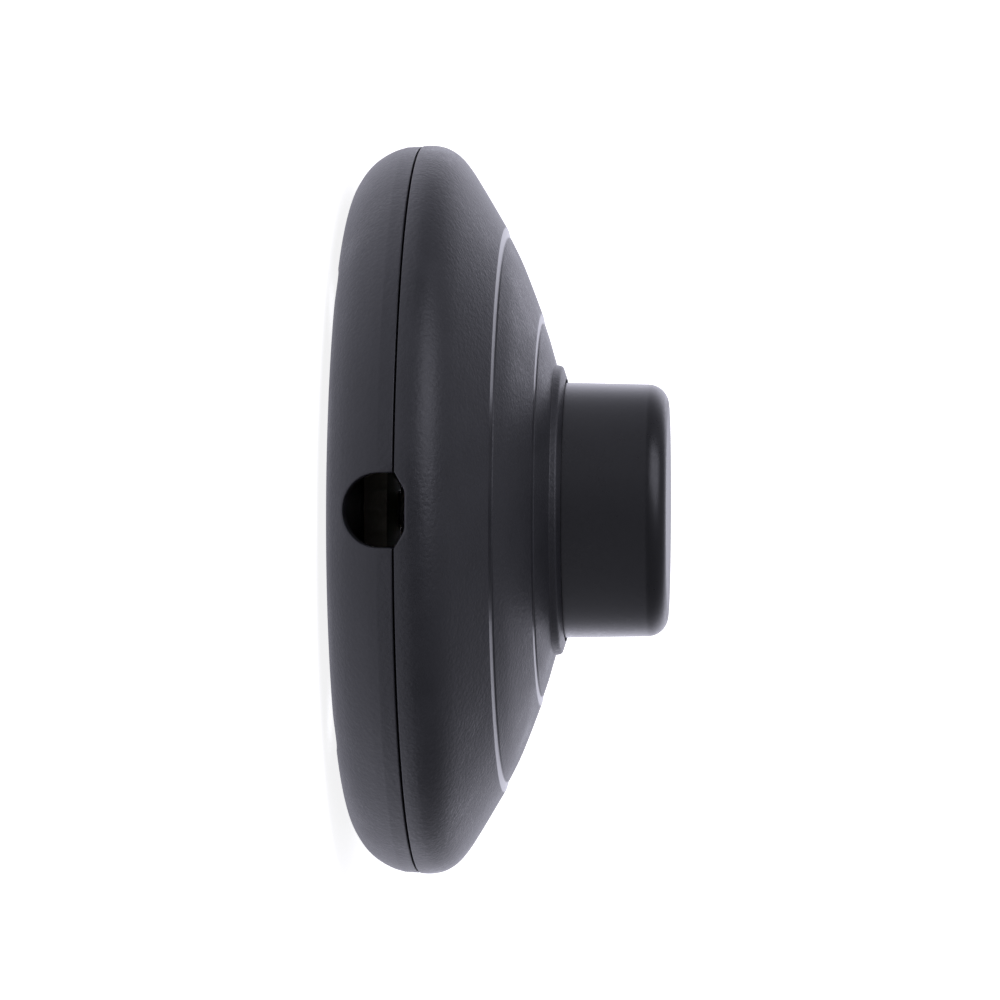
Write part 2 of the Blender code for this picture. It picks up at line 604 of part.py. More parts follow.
def main():
    shell = new_material("black_shell_plastic", (0.028, 0.029, 0.033), 0.62)
    satin = new_material("black_button_plastic", (0.017, 0.018, 0.021), 0.38)
    insulator = new_material("cream_insulator", (0.62, 0.57, 0.45), 0.5)
    acetal = new_material("white_acetal", (0.75, 0.74, 0.70), 0.35)
    grip = new_material("grey_clamp_plastic", (0.16, 0.16, 0.17), 0.5)
    rubber = new_material("black_rubber", (0.02, 0.02, 0.02), 0.85)
    brass = new_material("brass", (0.72, 0.50, 0.19), 0.3, 1)
    steel = new_material("zinc_plated_steel", (0.62, 0.63, 0.64), 0.32, 1)
    spring_steel = new_material("spring_steel", (0.45, 0.46, 0.48), 0.28, 1)

    button_axis = add_axis("button_slide", BUTTON_TOP)
    rotor_axis = add_axis("rotor_axis", DISC_TOP)
    make_base_shell(shell)
    make_cover_shell(shell)
    make_push_button(satin, button_axis)
    make_plunger(acetal, button_axis)
    make_rotor(acetal, rotor_axis)
    make_contact_bridge(brass, rotor_axis)
    make_return_spring(spring_steel)
    make_spring_washer(steel)
    make_rotor_pin(steel)
    make_contact_carrier(insulator)
    make_index_spring(spring_steel)
    make_index_rivet(brass)
    make_fixed_contact("fixed_contact_in", -1, brass)
    make_fixed_contact("fixed_contact_out", 1, brass)
    make_terminals(brass, steel)
    make_cord_clamps(grip, steel)
    make_rubber_feet(rubber)
    make_housing_screws(steel)
    make_carrier_screws(steel)


clear_scene()
PARTS = new_collection("in_line_foot_switch")
CUTTERS = new_collection("cutters")
main()
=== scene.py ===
"""Looks of the round in-line foot switch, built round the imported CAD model."""
import json
import math

import bmesh
import bpy
from mathutils import Matrix, Vector


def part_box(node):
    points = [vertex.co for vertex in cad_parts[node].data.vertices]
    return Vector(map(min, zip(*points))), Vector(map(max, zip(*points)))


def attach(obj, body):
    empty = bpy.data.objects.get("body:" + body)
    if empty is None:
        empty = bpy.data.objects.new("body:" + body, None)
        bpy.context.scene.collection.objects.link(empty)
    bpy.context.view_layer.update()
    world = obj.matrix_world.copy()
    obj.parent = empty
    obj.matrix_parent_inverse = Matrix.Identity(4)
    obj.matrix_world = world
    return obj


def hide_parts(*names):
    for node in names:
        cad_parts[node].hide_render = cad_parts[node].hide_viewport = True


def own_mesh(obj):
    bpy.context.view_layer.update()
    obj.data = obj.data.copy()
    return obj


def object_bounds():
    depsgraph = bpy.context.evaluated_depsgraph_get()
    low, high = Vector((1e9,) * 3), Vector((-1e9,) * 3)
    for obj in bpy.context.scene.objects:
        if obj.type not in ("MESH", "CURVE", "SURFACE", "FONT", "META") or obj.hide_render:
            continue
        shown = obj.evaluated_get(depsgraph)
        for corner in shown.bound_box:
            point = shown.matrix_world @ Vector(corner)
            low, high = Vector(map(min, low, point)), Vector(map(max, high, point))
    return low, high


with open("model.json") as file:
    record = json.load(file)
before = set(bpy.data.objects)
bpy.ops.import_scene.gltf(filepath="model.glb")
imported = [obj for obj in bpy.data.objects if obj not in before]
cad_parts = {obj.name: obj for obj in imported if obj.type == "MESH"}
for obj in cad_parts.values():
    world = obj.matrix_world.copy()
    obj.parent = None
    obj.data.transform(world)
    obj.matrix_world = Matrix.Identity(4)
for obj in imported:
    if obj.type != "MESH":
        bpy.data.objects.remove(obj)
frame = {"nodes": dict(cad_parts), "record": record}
cad_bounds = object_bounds()

MM = 0.001  # meshes are made in millimetres, and add_piece scales them to metres
SEGMENTS = 256  # round the shells; a multiple of four, so that vertices fall on the axes
SMOOTH_ANGLE = math.radians(32)
MERGE_DISTANCE = 0.0004
TINY = 1e-6
FILLET_STEPS = 5
QUARTER_TURN = range(15, 91, 15)  # degrees, for the small rounded edges of cutters
GAP = 0.3  # the CAD model's gap between pieces that touch


def box_in_mm(node):
    return [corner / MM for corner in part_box(node)]


# Sizes from the CAD model's boxes
BASE_LOW, BASE_HIGH = box_in_mm("base_shell")
COVER_LOW, COVER_HIGH = box_in_mm("cover_shell")
BUTTON_LOW, BUTTON_HIGH = box_in_mm("push_button")
OUTER = COVER_HIGH.x
UNDERSIDE = BASE_LOW.z
LIP_TOP = BASE_HIGH.z
PARTING = COVER_LOW.z - GAP
COLLAR_TOP = COVER_HIGH.z
BUTTON_TOP = BUTTON_HIGH.z
FLOOR_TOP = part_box("contact_carrier")[0].z / MM - GAP
FLANGE_RADIUS = BUTTON_HIGH.x
FLANGE_BOTTOM = BUTTON_LOW.z

# Sizes that the boxes don't give, the same as in the CAD model
BUTTON_RADIUS = 11.4
GUIDE_RADIUS = BUTTON_RADIUS + GAP
SKIRT_BOTTOM = 12.3
SKIRT_RADIUS = 13.1
FLANGE_TOP = SKIRT_BOTTOM - GAP
LIP_RADIUS = 30.0
CAVITY_RADIUS = 29.1
SPRING_WIRE = 0.7
SPRING_TURNS = 7


# ---------------------------------------------------------------- outer surfaces, (radius, height) in mm

RIM = 0.12  # fillet along the parting line
BASE_RIM = OUTER - 0.1
BASE_TOP = PARTING + 0.21
COVER_RIM = BASE_TOP + 0.14
BASE_CURVE = [(BASE_RIM, BASE_TOP), (32.34, 5.3), (32.04, 4.3), (31.43, 3.15), (30.68, 2.25), (29.77, 1.55),
              (28.7, 0.98), (27.4, 0.6), (26.2, 0.44), (25.0, UNDERSIDE)]
SHOULDER_CURVE = [(25.2, 13.97), (27.38, 12.69), (29.07, 11.68), (30.53, 10.74), (31.56, 9.85),
                  (32.16, 8.95), (32.42, 8.1), (OUTER - 0.02, 7.3), (OUTER - 0.06, COVER_RIM)]
LEDGE_1 = (24.35, 14.19)
TIER_2_CURVE = [(24.25, 14.31), (22.42, 15.22), (20.2, 16.13), (17.5, 17.15)]
LEDGE_2 = (16.7, 17.25)
TIER_3_CURVE = [(16.58, 17.36), (15.35, 17.77), (14.1, 18.13), (13.45, 18.32)]
COLLAR = [(GUIDE_RADIUS, SKIRT_BOTTOM), (GUIDE_RADIUS, COLLAR_TOP, 0.06), (12.86, COLLAR_TOP - 0.38, 0.3),
          (12.98, 18.42, 0.12)]
COVER_INNER = [(LIP_RADIUS + GAP, 8.1), (28.8, 9.7), (25.9, 11.3), (20.5, 13.8), (16.6, 15.3),
               (SKIRT_RADIUS, 16.3), (SKIRT_RADIUS, SKIRT_BOTTOM)]


# ---------------------------------------------------------------- mesh tools

def curve_through(points, steps):
    """A smooth curve through (radius, height) points, with steps pieces between each two."""
    points = [Vector(point) for point in points]
    ends = [points[0] * 2 - points[1]] + points + [points[-1] * 2 - points[-2]]
    made = []
    for before, start, end, after in zip(ends, ends[1:], ends[2:], ends[3:]):
        span = (end - start).length
        leave = (end - before).normalized() * span
        arrive = (after - start).normalized() * span
        for step in range(steps):
            t = step / steps
            made.append(start * (2 * t**3 - 3 * t**2 + 1) + leave * (t**3 - 2 * t**2 + t)
                        + end * (3 * t**2 - 2 * t**3) + arrive * (t**3 - t**2))
    made.append(points[-1])
    return [tuple(point) for point in made]


def rounded(points, steps=FILLET_STEPS):
    """Points as (radius, height) or (radius, height, fillet); each fillet becomes an arc."""
    most = 0.49  # share of an edge that a fillet may take
    made = []
    for index, point in enumerate(points):
        corner = Vector(point[:2])
        if len(point) == 2:
            made.append(tuple(corner))
            continue
        back = Vector(points[index - 1][:2]) - corner
        on = Vector(points[(index + 1) % len(points)][:2]) - corner
        half = back.angle(on) / 2
        inset = min(point[2] / math.tan(half), back.length * most, on.length * most)
        start, end = corner + back.normalized() * inset, corner + on.normalized() * inset
        centre = corner + (back.normalized() + on.normalized()).normalized() * inset / math.cos(half)
        radius = (start - centre).length
        turn = (start - centre).angle_signed(end - centre)
        for step in range(steps + 1):
            arm = (start - centre).copy()
            arm.rotate(Matrix.Rotation(-turn * step / steps, 2))
            made.append(tuple(centre + arm.normalized() * radius))
    return made


def finished_mesh(shape, name):
    bmesh.ops.remove_doubles(shape, verts=shape.verts, dist=MERGE_DISTANCE)
    bmesh.ops.recalc_face_normals(shape, faces=shape.faces)
    mesh = bpy.data.meshes.new(name)
    shape.to_mesh(mesh)
    shape.free()
    return mesh


def turned(name, outline, segments=SEGMENTS):
    """A closed outline of (radius, height) turned about Z, in millimetres."""
    shape = bmesh.new()
    rings = []
    for radius, height in outline:
        if radius < TINY:
            rings.append([shape.verts.new((0, 0, height))] * segments)
        else:
            angles = [2 * math.pi * step / segments for step in range(segments)]
            rings.append([shape.verts.new((radius * math.cos(angle), radius * math.sin(angle), height))
                          for angle in angles])
    for low, high in zip(rings, rings[1:] + rings[:1]):
        for step in range(segments):
            on = (step + 1) % segments
            corners = []
            for vertex in (low[step], low[on], high[on], high[step]):
                if vertex not in corners:
                    corners.append(vertex)
            if len(corners) > 2:
                shape.faces.new(corners)
    return finished_mesh(shape, name)


def lofted(name, loops):
    """A closed skin over loops of points, capped at both ends, in millimetres."""
    shape = bmesh.new()
    rows = [[shape.verts.new(point) for point in loop] for loop in loops]
    for row, after in zip(rows, rows[1:]):
        for index in range(len(row)):
            on = (index + 1) % len(row)
            shape.faces.new((row[index], row[on], after[on], after[index]))
    shape.faces.new(rows[0])
    shape.faces.new(rows[-1])
    return finished_mesh(shape, name)


def pegs(name, places, radius, low, high, segments=48):
    """Round pegs at several (x, y) places, as one mesh."""
    shape = bmesh.new()
    for x, y in places:
        bmesh.ops.create_cone(shape, cap_ends=True, segments=segments, radius1=radius, radius2=radius,
                              depth=high - low, matrix=Matrix.Translation((x, y, (low + high) / 2)))
    return finished_mesh(shape, name)


def boxes(name, corners):
    """Boxes between pairs of opposite corners, as one mesh."""
    shape = bmesh.new()
    for start, end in corners:
        start, end = Vector(start), Vector(end)
        sides = [abs(length) for length in end - start]
        bmesh.ops.create_cube(shape, size=1, matrix=Matrix.Translation((start + end) / 2)
                              @ Matrix.Diagonal((*sides, 1)))
    return finished_mesh(shape, name)


def placed(mesh, places):
    """Copies of a mesh at several (x, y) places, as one mesh."""
    shape = bmesh.new()
    for x, y in places:
        copy = mesh.copy()
        copy.transform(Matrix.Translation((x, y, 0)))
        shape.from_mesh(copy)
        bpy.data.meshes.remove(copy)
    made = bpy.data.meshes.new(mesh.name)
    shape.to_mesh(made)
    shape.free()
    return made


def combined(mesh, steps):
    """The mesh after Boolean steps, each ("DIFFERENCE" or "UNION", mesh)."""
    body = bpy.data.objects.new(mesh.name, mesh)
    bpy.context.scene.collection.objects.link(body)
    tools = []
    for operation, other in steps:
        tool = bpy.data.objects.new(other.name, other)
        bpy.context.scene.collection.objects.link(tool)
        tools.append(tool)
        boolean = body.modifiers.new(other.name, "BOOLEAN")
        boolean.operation = operation
        boolean.solver = "EXACT"
        boolean.object = tool
    graph = bpy.context.evaluated_depsgraph_get()
    made = bpy.data.meshes.new_from_object(body.evaluated_get(graph), depsgraph=graph)
    for obj in [body] + tools:
        bpy.data.objects.remove(obj, do_unlink=True)
    return made


def around(radius, start):
    """Four (x, y) places on a circle, the first at the start angle in degrees."""
    angles = [math.radians(start + 90 * turn) for turn in range(4)]
    return [(radius * math.cos(angle), radius * math.sin(angle)) for angle in angles]


def add_piece(name, mesh, material, body, slot, *nodes):
    """A piece of the object from a mesh in millimetres, riding on a body in place of CAD nodes."""
    mesh.transform(Matrix.Scale(MM, 4))
    mesh.name = name
    mesh.materials.clear()
    mesh.materials.append(material)
    mesh.shade_smooth()
    mesh.set_sharp_from_angle(angle=SMOOTH_ANGLE)
    piece = bpy.data.objects.new(name, mesh)
    bpy.context.scene.collection.objects.link(piece)
    weigh = piece.modifiers.new("Even shading", "WEIGHTED_NORMAL")
    weigh.keep_sharp = True
    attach(piece, body)
    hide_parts(*nodes)
    return piece


# ---------------------------------------------------------------- materials

TONE_SCALE = 160.0  # slow changes of tone, in cycles per metre
TARNISH_SCALE = 260.0
SCRATCH_SCALE = 900.0
SCRATCH_DEPTH = 0.00001
PITS_PER_GRAIN = 0.6
PLASTIC_IOR = 1.5


def add_node(tree, kind, inputs=None, **settings):
    node = tree.nodes.new(kind)
    for key, value in settings.items():
        setattr(node, key, value)
    for key, value in (inputs or {}).items():
        if isinstance(value, bpy.types.NodeSocket):
            tree.links.new(value, node.inputs[key])
        else:
            node.inputs[key].default_value = value
    return node


def new_material(name):
    material = bpy.data.materials.new(name)
    material.use_nodes = True
    return material, material.node_tree, material.node_tree.nodes["Principled BSDF"]


def noise(tree, place, scale, detail, roughness):
    return add_node(tree, "ShaderNodeTexNoise", {"Vector": place, "Scale": scale, "Detail": detail,
                                                 "Roughness": roughness}).outputs["Fac"]


def ramp_between(tree, factor, low, high, start=0.3, end=0.7):
    """A value or colour that goes from low to high as the factor goes from start to end."""
    node = add_node(tree, "ShaderNodeValToRGB", {"Fac": factor})
    node.color_ramp.elements[0].position = start
    node.color_ramp.elements[1].position = end
    for element, value in zip(node.color_ramp.elements, (low, high)):
        element.color = (*value, 1) if isinstance(value, tuple) else (value, value, value, 1)
    return node.outputs["Color"]


def level_stops(tree, value, start, end, stops):
    """A value between start and end turned into a light level, by stops of (position, level)."""
    place = add_node(tree, "ShaderNodeMapRange", {"Value": value, "From Min": start, "From Max": end})
    ramp = add_node(tree, "ShaderNodeValToRGB", {"Fac": place.outputs["Result"]})
    elements = ramp.color_ramp.elements
    while len(elements) < len(stops):
        elements.new(1.0)
    for element, (position, level) in zip(elements, stops):
        element.position = position
        element.color = (level, level, level, 1)
    return ramp.outputs["Color"]


def step_faces(tree):
    """1 on the two narrow polished steps of the cover, 0 elsewhere."""
    place = add_node(tree, "ShaderNodeTexCoord").outputs["Object"]
    flat = add_node(tree, "ShaderNodeVectorMath", {0: place, 1: (1, 1, 0)}, operation="MULTIPLY").outputs[0]
    radius = add_node(tree, "ShaderNodeVectorMath", {0: flat}, operation="LENGTH").outputs["Value"]
    rings = []
    fade = 0.03
    for (inner, _), (outer, _) in ((LEDGE_2, TIER_2_CURVE[-1]), (LEDGE_1, SHOULDER_CURVE[0])):
        for edge, level in ((inner - fade, 0), (inner, 1), (outer, 1), (outer + fade, 0)):
            rings.append((edge / OUTER, level))
    ring = level_stops(tree, radius, 0, OUTER * MM, rings)
    height = add_node(tree, "ShaderNodeSeparateXYZ", {"Vector": place}).outputs["Z"]
    outside = (SHOULDER_CURVE[0][1] - 0.5) * MM  # above the inner faces at the lower step's radius
    above = add_node(tree, "ShaderNodeMath", {0: height, 1: outside}, operation="GREATER_THAN").outputs[0]
    return add_node(tree, "ShaderNodeMath", {0: ring, 1: above}, operation="MULTIPLY").outputs[0]


def level_faces(tree):
    """1 where the surface is level and looks up, fading to 0 over the edge."""
    normal = add_node(tree, "ShaderNodeNewGeometry").outputs["True Normal"]
    up = add_node(tree, "ShaderNodeSeparateXYZ", {"Vector": normal}).outputs["Z"]
    level = add_node(tree, "ShaderNodeMapRange", {"Value": up, "From Min": 0.9, "From Max": 0.99})
    return level.outputs["Result"]


def moulded(name, dark, light, smooth, rough, grain, depth, wave=0.0, faces=None, finish=0.0):
    """Moulded plastic: a fine grain of a given size and depth in metres, with slow changes of tone and
    polish, and slow waves of the surface. The chosen faces have a roughness of their own, finish, and no
    grain."""
    material, tree, shader = new_material(name)
    place = add_node(tree, "ShaderNodeTexCoord").outputs["Object"]
    slow = noise(tree, place, TONE_SCALE, 4.0, 0.6)
    fine = noise(tree, place, 1 / grain, 3.0, 0.65)
    pits = add_node(tree, "ShaderNodeTexVoronoi", {"Vector": place, "Scale": PITS_PER_GRAIN / grain,
                                                   "Randomness": 1.0}, feature="SMOOTH_F1")
    pits = pits.outputs["Distance"]
    height = add_node(tree, "ShaderNodeMath", {0: fine, 1: pits}, operation="ADD").outputs[0]
    bump = add_node(tree, "ShaderNodeBump", {"Height": height, "Strength": 1.0, "Distance": depth})
    normal = bump.outputs["Normal"]
    if faces:
        chosen = faces(tree)
        grained = add_node(tree, "ShaderNodeMath", {0: 1.0, 1: chosen}, operation="SUBTRACT").outputs[0]
        tree.links.new(grained, bump.inputs["Strength"])
    if wave:
        swell = add_node(tree, "ShaderNodeBump", {"Height": slow, "Strength": 1.0, "Distance": wave,
                                                  "Normal": normal})
        normal = swell.outputs["Normal"]
    tree.links.new(normal, shader.inputs["Normal"])
    tree.links.new(ramp_between(tree, slow, dark, light), shader.inputs["Base Color"])
    both = add_node(tree, "ShaderNodeMath", {0: slow, 1: fine}, operation="ADD").outputs[0]
    roughness = ramp_between(tree, both, smooth, rough, 0.7, 1.3)
    if faces:
        roughness = add_node(tree, "ShaderNodeMix", {"Factor": chosen, "A": roughness, "B": finish},
                             data_type="FLOAT").outputs["Result"]
    tree.links.new(roughness, shader.inputs["Roughness"])
    shader.inputs["IOR"].default_value = PLASTIC_IOR
    return material


def metal(name, dark, light, smooth, rough, stretch=(1.0, 1.0, 1.0)):
    """Plated or drawn metal, with faint scratches along one direction and slight tarnish."""
    material, tree, shader = new_material(name)
    place = add_node(tree, "ShaderNodeTexCoord").outputs["Object"]
    drawn = add_node(tree, "ShaderNodeMapping", {"Vector": place, "Scale": stretch}).outputs["Vector"]
    scratch = noise(tree, drawn, SCRATCH_SCALE, 5.0, 0.7)
    tarnish = noise(tree, place, TARNISH_SCALE, 3.0, 0.5)
    bump = add_node(tree, "ShaderNodeBump", {"Height": scratch, "Strength": 0.5, "Distance": SCRATCH_DEPTH})
    tree.links.new(bump.outputs["Normal"], shader.inputs["Normal"])
    tree.links.new(ramp_between(tree, tarnish, dark, light), shader.inputs["Base Color"])
    tree.links.new(ramp_between(tree, scratch, smooth, rough), shader.inputs["Roughness"])
    shader.inputs["Metallic"].default_value = 1.0
    return material


SHELL = moulded("black_shell_plastic", (0.0165, 0.017, 0.0195), (0.024, 0.0245, 0.0275),
                0.33, 0.45, 0.00022, 0.000022, wave=0.00004, faces=step_faces, finish=0.3)
BUTTON = moulded("black_button_plastic", (0.0065, 0.0068, 0.008), (0.009, 0.0093, 0.0105),
                 0.27, 0.35, 0.0003, 0.000003, faces=level_faces, finish=0.42)
ACETAL = moulded("white_acetal", (0.70, 0.69, 0.65), (0.78, 0.77, 0.73), 0.35, 0.48, 0.0004, 0.000006)
INSULATOR = moulded("cream_insulator", (0.55, 0.50, 0.38), (0.63, 0.58, 0.46),
                    0.42, 0.56, 0.00035, 0.00001)
CLAMP = moulded("grey_clamp_plastic", (0.13, 0.13, 0.14), (0.17, 0.17, 0.18),
                0.48, 0.62, 0.0003, 0.000015)
RUBBER = moulded("black_rubber", (0.016, 0.016, 0.017), (0.028, 0.028, 0.029),
                 0.72, 0.88, 0.00035, 0.00004, wave=0.00005)
BRASS = metal("brass", (0.66, 0.46, 0.17), (0.76, 0.56, 0.24), 0.22, 0.38, (1, 6, 1))
ZINC = metal("zinc_plated_steel", (0.55, 0.56, 0.58), (0.68, 0.69, 0.70), 0.26, 0.42)
SPRING_STEEL = metal("spring_steel", (0.40, 0.41, 0.43), (0.52, 0.53, 0.55), 0.24, 0.36, (1, 1, 5))


# ---------------------------------------------------------------- cable openings

CABLE_RADIUS = 3.1
CABLE_HEIGHT = 5.35
CABLE_INNER_END = 25.0
CABLE_ROOF = PARTING + 1.22
CABLE_ROOF_HALF = 1.65
CABLE_ROOF_BEND = 0.35
CABLE_ROUNDING = 0.22
CABLE_FOOT_OUT = 0.15  # how far outside the U the slanted sides start
CABLE_FOOT_HEIGHT = COVER_RIM - 0.06
CABLE_ARC_STEPS = 24
CABLE_BEND_STEPS = 6


def radius_at(height):
    """The housing's outer radius at a height near the cable openings."""
    outline = curve_through(SHOULDER_CURVE, 6)[::-1] + curve_through(BASE_CURVE, 6)
    outline = sorted(outline, key=lambda point: point[1])
    for (low_r, low_z), (high_r, high_z) in zip(outline, outline[1:]):
        if low_z <= height <= high_z:
            return low_r + (high_r - low_r) * (height - low_z) / max(high_z - low_z, TINY)
    return outline[-1][0] if height > outline[-1][1] else outline[0][0]


def opening_loop(grow):
    """The opening's outline in (x, z), larger by grow: a U below the parting, slanted sides above."""
    reach = CABLE_RADIUS + grow
    loop = []
    for step in range(CABLE_ARC_STEPS + 1):
        angle = math.pi * (1 + step / CABLE_ARC_STEPS)
        loop.append((reach * math.cos(angle), CABLE_HEIGHT + reach * math.sin(angle)))
    side = [(reach, (CABLE_HEIGHT + PARTING) / 2), (reach, PARTING + 0.1),
            (reach + CABLE_FOOT_OUT, CABLE_FOOT_HEIGHT)]
    other_side = [(-x, z) for x, z in side[::-1]]
    top, half = CABLE_ROOF + grow, CABLE_ROOF_HALF + 0.6 * grow
    roof = [(half, top), (-half, top)]
    loop += side
    for start, corner, end in ((side[-1], *roof), (*roof, other_side[0])):
        start, corner, end = Vector(start), Vector(corner), Vector(end)
        into = (start - corner).normalized() * CABLE_ROOF_BEND
        out = (end - corner).normalized() * CABLE_ROOF_BEND
        for step in range(CABLE_BEND_STEPS + 1):
            t = step / CABLE_BEND_STEPS
            loop.append(tuple(corner + into * (1 - t) ** 2 + out * t ** 2))
    return loop + other_side


def cable_cutter(side):
    """A plug that leaves a cable opening with a rounded outer edge, on the side -1 or 1 of Y."""
    sections = [(-3.0, CABLE_ROUNDING), (-0.05, CABLE_ROUNDING), (0.0, CABLE_ROUNDING)]
    for turn in QUARTER_TURN:
        sections.append((CABLE_ROUNDING * (1 - math.cos(math.radians(turn))),
                         CABLE_ROUNDING * (1 - math.sin(math.radians(turn)))))
    loops = []
    for depth, grow in sections:
        loop = []
        for x, z in opening_loop(grow):
            reach = math.sqrt(radius_at(z) ** 2 - x * x) - depth
            loop.append((x, side * reach, z))
        loops.append(loop)
    loops.append([(x, side * CABLE_INNER_END, z) for x, z in opening_loop(0)])
    return lofted("cable_cutter", loops)


# ---------------------------------------------------------------- shells

FIXINGS = around(25, 45)
CLAMP_POSTS = [(x * 6.3, y * 22.5) for y in (-1, 1) for x in (-1, 1)]
CARRIER_SCREWS = [(5.8, 10.05), (5.8, -10.05)]
FEET = around(17, 0)

# Bosses, posts, recesses and holes, the same as in the CAD model
BOSS_RADIUS = 4.5
POST_RADIUS, POST_TOP = 2.4, 7.0
FOOT_RECESS_RADIUS, FOOT_RECESS_TOP = 4.8, 1.2
SCREW_RECESS_RADIUS, SCREW_RECESS_TOP = 3.0, 3.0
SCREW_HOLE_RADIUS = 1.75
CLAMP_PILOT_RADIUS, CARRIER_PILOT_RADIUS = 1.3, 1.4
COVER_BOSS_RADIUS, COVER_BOSS_TOP = 3.4, 11.9
COVER_PILOT_RADIUS, COVER_PILOT_TOP = 1.7, 11
LIP_BREAK_HALF, LIP_BREAK_END = 5, 32.0

BELOW = -2  # a height well below the underside, where cutters start
ABOVE = LIP_TOP + 2
BASE_BOTTOM = [(24.2, UNDERSIDE), (24.0, UNDERSIDE + 0.12), (23.6, UNDERSIDE + 0.12), (23.4, UNDERSIDE),
               (0, UNDERSIDE)]


def bevelled_hole(name, places, radius, low, high, edge, segments=64):
    """Cutters for round recesses from below, opened out by a small rounded edge at the underside."""
    outline = [(0, high), (radius, high), (radius, UNDERSIDE + edge)]
    for turn in QUARTER_TURN:
        outline.append((radius + edge * (1 - math.cos(math.radians(turn))),
                        UNDERSIDE + edge * (1 - math.sin(math.radians(turn)))))
    outline += [(radius + edge, low), (0, low)]
    return placed(turned(name, outline, segments), places)


def make_base():
    """The shallow dish, with a lip that the cover fits over and a ring groove in the underside."""
    outline = rounded([(0, LIP_TOP), (LIP_RADIUS, LIP_TOP, 0.2), (LIP_RADIUS, BASE_TOP)])
    outline += rounded([(LIP_RADIUS, BASE_TOP), (BASE_RIM, BASE_TOP, RIM), BASE_CURVE[1]])[1:-1]
    outline += curve_through(BASE_CURVE[1:], 5) + BASE_BOTTOM
    room = rounded([(0, ABOVE), (CAVITY_RADIUS, ABOVE), (CAVITY_RADIUS, 4.0, 1.0),
                    (CAVITY_RADIUS - 1.5, FLOOR_TOP, 1.0), (0, FLOOR_TOP)])
    cavity = combined(turned("base_cavity", room), [
        ("DIFFERENCE", pegs("base_bosses", FIXINGS, BOSS_RADIUS, 0, PARTING)),
        ("DIFFERENCE", pegs("clamp_posts", CLAMP_POSTS, POST_RADIUS, 0, POST_TOP))])
    breaks = [((-LIP_BREAK_HALF, side * CABLE_INNER_END, BASE_TOP),
               (LIP_BREAK_HALF, side * LIP_BREAK_END, ABOVE)) for side in (-1, 1)]
    mesh = combined(turned("base_shell_mould", outline), [
        ("DIFFERENCE", cavity),
        ("DIFFERENCE", cable_cutter(-1)),
        ("DIFFERENCE", cable_cutter(1)),
        ("DIFFERENCE", boxes("lip_breaks", breaks)),
        ("DIFFERENCE", bevelled_hole("foot_recesses", FEET, FOOT_RECESS_RADIUS, BELOW,
                                     FOOT_RECESS_TOP, 0.15)),
        ("DIFFERENCE", bevelled_hole("screw_recesses", FIXINGS, SCREW_RECESS_RADIUS, BELOW,
                                     SCREW_RECESS_TOP, 0.2)),
        ("DIFFERENCE", pegs("screw_holes", FIXINGS, SCREW_HOLE_RADIUS, 2, PARTING + 2)),
        ("DIFFERENCE", pegs("clamp_pilots", CLAMP_POSTS, CLAMP_PILOT_RADIUS, 3, 12)),
        ("DIFFERENCE", pegs("carrier_pilots", CARRIER_SCREWS, CARRIER_PILOT_RADIUS, 1.1, 4))])
    add_piece("base_shell_mould", mesh, SHELL, "housing", "shell_plastic", "base_shell")


def step_down(upper, ledge, lower, fillets):
    """The small wall and narrow sloped ledge between two tiers, each given from the ledge on."""
    wall, corner, edge = fillets
    points = rounded([upper[1], (*upper[0], wall), (*ledge, corner), lower[0]], 3)[1:-1]
    return points + rounded([ledge, (*lower[0], edge), lower[1]], 3)[1:-1]


def make_cover():
    """The domed cover: three tiers with a narrow polished step between each two, a collar and bosses."""
    outline = rounded(COLLAR + TIER_3_CURVE[-1:])[:-1]
    outline += curve_through(TIER_3_CURVE[::-1], 4)[:-1]
    outline += step_down(TIER_3_CURVE, LEDGE_2, TIER_2_CURVE[::-1], (0.03, 0.02, 0.05))
    outline += curve_through(TIER_2_CURVE[::-1], 6)[1:-1]
    outline += step_down(TIER_2_CURVE, LEDGE_1, SHOULDER_CURVE, (0.04, 0.02, 0.06))
    outline += curve_through(SHOULDER_CURVE, 6)[1:-1]
    outline += rounded([SHOULDER_CURVE[-2], (*SHOULDER_CURVE[-1], RIM), (LIP_RADIUS + GAP, COVER_RIM)])[1:]
    outline += COVER_INNER
    mesh = combined(turned("cover_shell_mould", outline), [
        ("UNION", pegs("cover_bosses", FIXINGS, COVER_BOSS_RADIUS, COVER_RIM, COVER_BOSS_TOP)),
        ("DIFFERENCE", cable_cutter(-1)),
        ("DIFFERENCE", cable_cutter(1)),
        ("DIFFERENCE", pegs("cover_pilots", FIXINGS, COVER_PILOT_RADIUS, 4, COVER_PILOT_TOP))])
    add_piece("cover_shell_mould", mesh, SHELL, "housing", "shell_plastic", "cover_shell")


